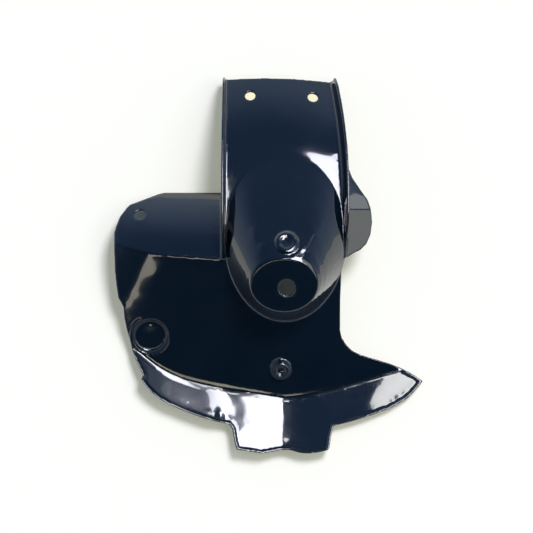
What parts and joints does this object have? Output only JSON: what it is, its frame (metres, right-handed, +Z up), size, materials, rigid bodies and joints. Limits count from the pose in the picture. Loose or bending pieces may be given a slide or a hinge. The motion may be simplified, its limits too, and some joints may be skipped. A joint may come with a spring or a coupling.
{
  "type": "shock mud flap",
  "caption": "One-piece moulded mud flap for a motorbike shock: bolted channel, raised oval hump with a hole, sloping deck with folded rim, side wing and ear.",
  "frame": {"origin": "middle of the part's plan box, on the surface it rests on", "axes": "+X across the channel towards the ear and the horn, +Y up the channel to its bolted end, +Z up, away from the surface, out of the face that the picture shows"},
  "size_m": [0.2313, 0.2822, 0.0638],
  "materials": {
    "black_plastic": "glossy bluish black injection moulding with light handling scuffs and dust"
  },
  "bodies": {
    "root": {"flap": "black_plastic"}
  },
  "joints": []
}
